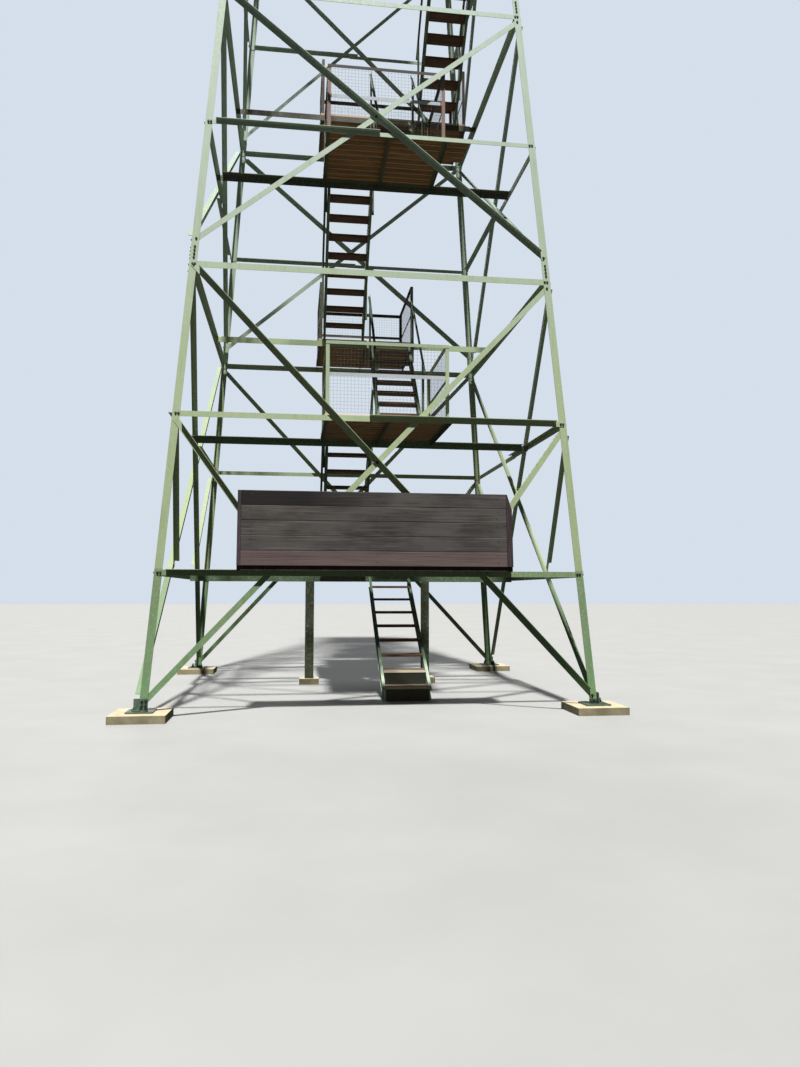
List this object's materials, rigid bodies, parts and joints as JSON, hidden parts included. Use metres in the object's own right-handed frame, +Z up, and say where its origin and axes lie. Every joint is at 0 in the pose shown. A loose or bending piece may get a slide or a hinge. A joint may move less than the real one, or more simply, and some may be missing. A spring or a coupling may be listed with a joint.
{
  "type": "fire lookout tower",
  "caption": "Tall open steel lookout tower: battered angle legs, crossed bracing, a switchback stair with railed landings, a board sign and a glazed hipped-roof cab.",
  "frame": {"origin": "centre of the tower's base at ground level, under the footings", "axes": "+Z up along the tower, -Y out of the near face that carries the sign, +X to the right as seen from in front of that face"},
  "size_m": [6.666, 6.666, 27.8666],
  "materials": {
    "green_paint": "weathered sage-green paint on steel angles",
    "rail_paint": "dull red-brown paint on light angles",
    "stair_timber": "weathered brown planks",
    "sign_timber": "dark stained boards, worn",
    "cab_paint": "painted boards, pale green",
    "roof_paint": "dull green painted sheet",
    "window_glass": "clear window glass",
    "concrete": "rough pale concrete"
  },
  "bodies": {
    "root": {"brace_packings": "green_paint", "cab_far_wall": "cab_paint", "cab_floor": "stair_timber", "cab_floor_beams": "green_paint", "cab_left_wall": "cab_paint", "cab_near_wall": "cab_paint", "cab_right_wall": "cab_paint", "cab_roof": "roof_paint", "cab_window_glass": "window_glass", "corner_footings": "concrete", "far_braces": "green_paint", "far_girts": "green_paint", "far_landing_rails": "rail_paint", "far_landings": "stair_timber", "far_left_leg": "green_paint", "far_right_leg": "green_paint", "foot_shoes": "green_paint", "landing_beams": "green_paint", "landing_joists": "green_paint", "landing_posts": "green_paint", "left_braces": "green_paint", "left_girts": "green_paint", "leg_splices": "green_paint", "near_braces": "green_paint", "near_girts": "green_paint", "near_landing_rails": "rail_paint", "near_landings": "stair_timber", "near_left_leg": "green_paint", "near_right_leg": "green_paint", "post_pads": "concrete", "right_braces": "green_paint", "right_girts": "green_paint", "roof_finial": "roof_paint", "sign_battens": "sign_timber", "sign_boards": "sign_timber", "stair_flight_1": "stair_timber", "stair_flight_2": "stair_timber", "stair_flight_3": "stair_timber", "stair_flight_4": "stair_timber", "stair_flight_5": "stair_timber", "stair_flight_6": "stair_timber", "stair_handrails": "rail_paint", "upper_stair_flights": "stair_timber"}
  },
  "joints": []
}
